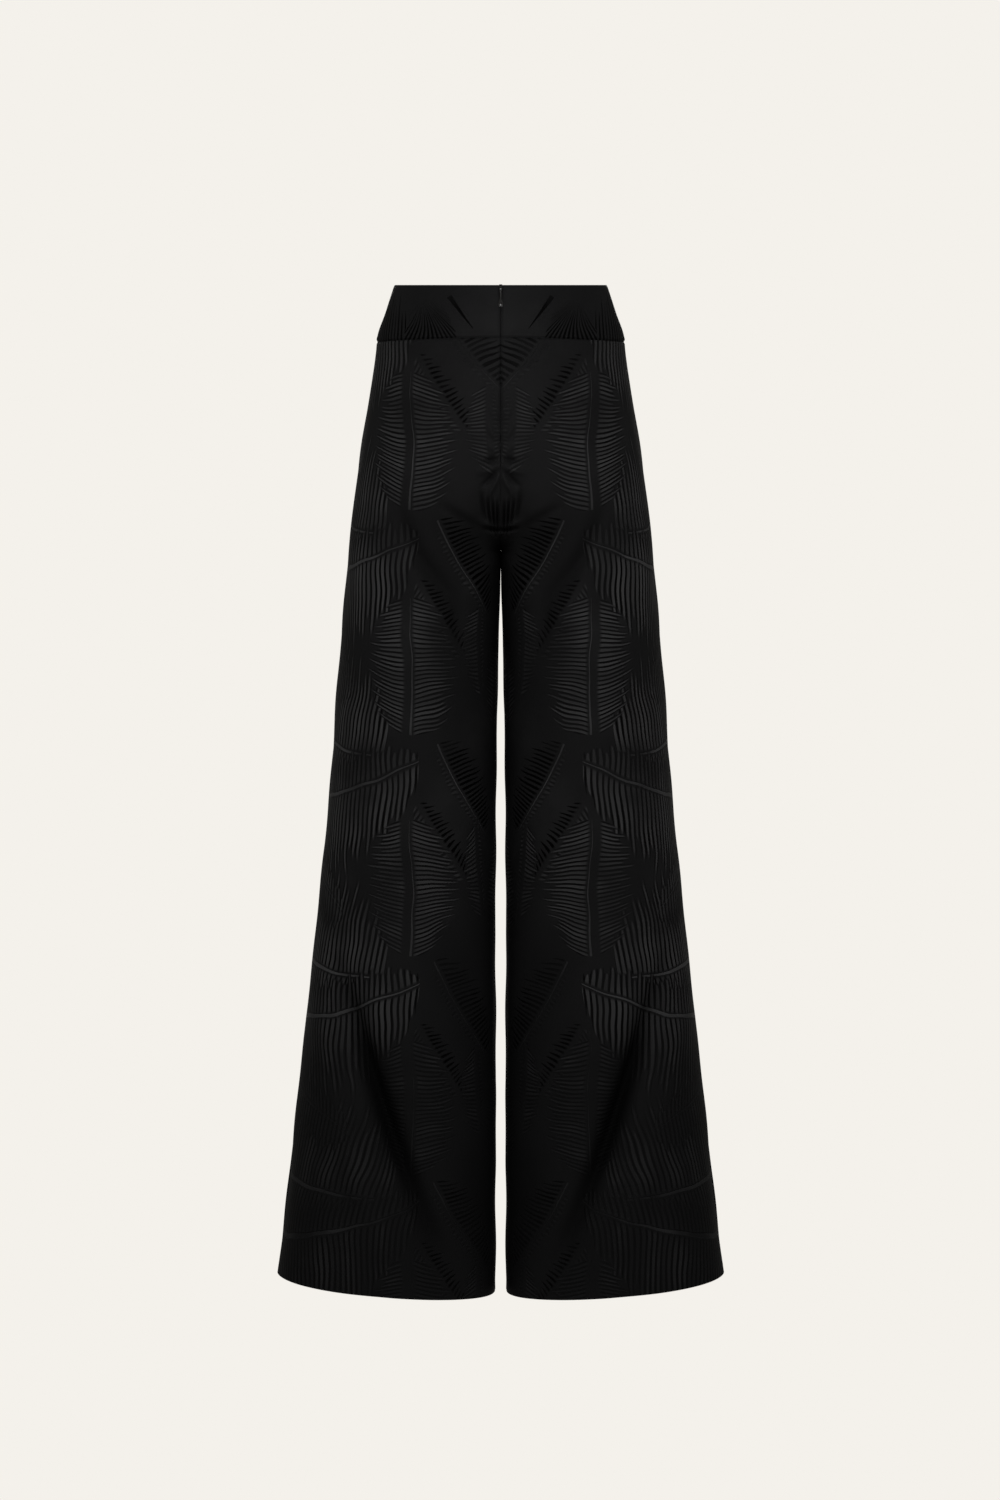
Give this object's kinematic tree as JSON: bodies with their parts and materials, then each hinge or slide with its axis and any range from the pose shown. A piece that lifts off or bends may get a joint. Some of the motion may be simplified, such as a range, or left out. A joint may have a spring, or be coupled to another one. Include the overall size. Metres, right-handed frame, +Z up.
{
  "type": "palazzo pants",
  "caption": "High-waisted palazzo trousers in black palm-leaf jacquard satin, filled out as worn: contoured waistband, very wide flared legs, invisible back zip with a small pull.",
  "frame": {"origin": "centre of the waist opening, level with the waistband's top edge, between the side seams", "axes": "+Z up towards the waist, +Y towards the back with the zip, +X towards the wearer's left side"},
  "size_m": [0.5018, 0.2237, 1.1305],
  "materials": {
    "satin": "black jacquard satin, palm leaves tone on tone, soft sheen",
    "tape": "black woven zip tape with nylon coil",
    "black_metal": "glossy black enamel"
  },
  "bodies": {
    "trousers": {"leg_back_left": "satin", "leg_back_right": "satin", "leg_front_left": "satin", "leg_front_right": "satin", "waistband_front": "satin", "waistband_back_left": "satin", "waistband_back_right": "satin", "zip_tape_left": "tape", "zip_tape_right": "tape", "zip_slider": "black_metal"},
    "pull_tab": {"zip_pull": "black_metal"}
  },
  "joints": [
    {"name": "pull_swing", "type": "hinge", "parent": "trousers", "child": "pull_tab", "pos_m": [0, 0.08644, -0.003], "axis": [1, 0, 0], "range_deg": [0, 170]}
  ]
}
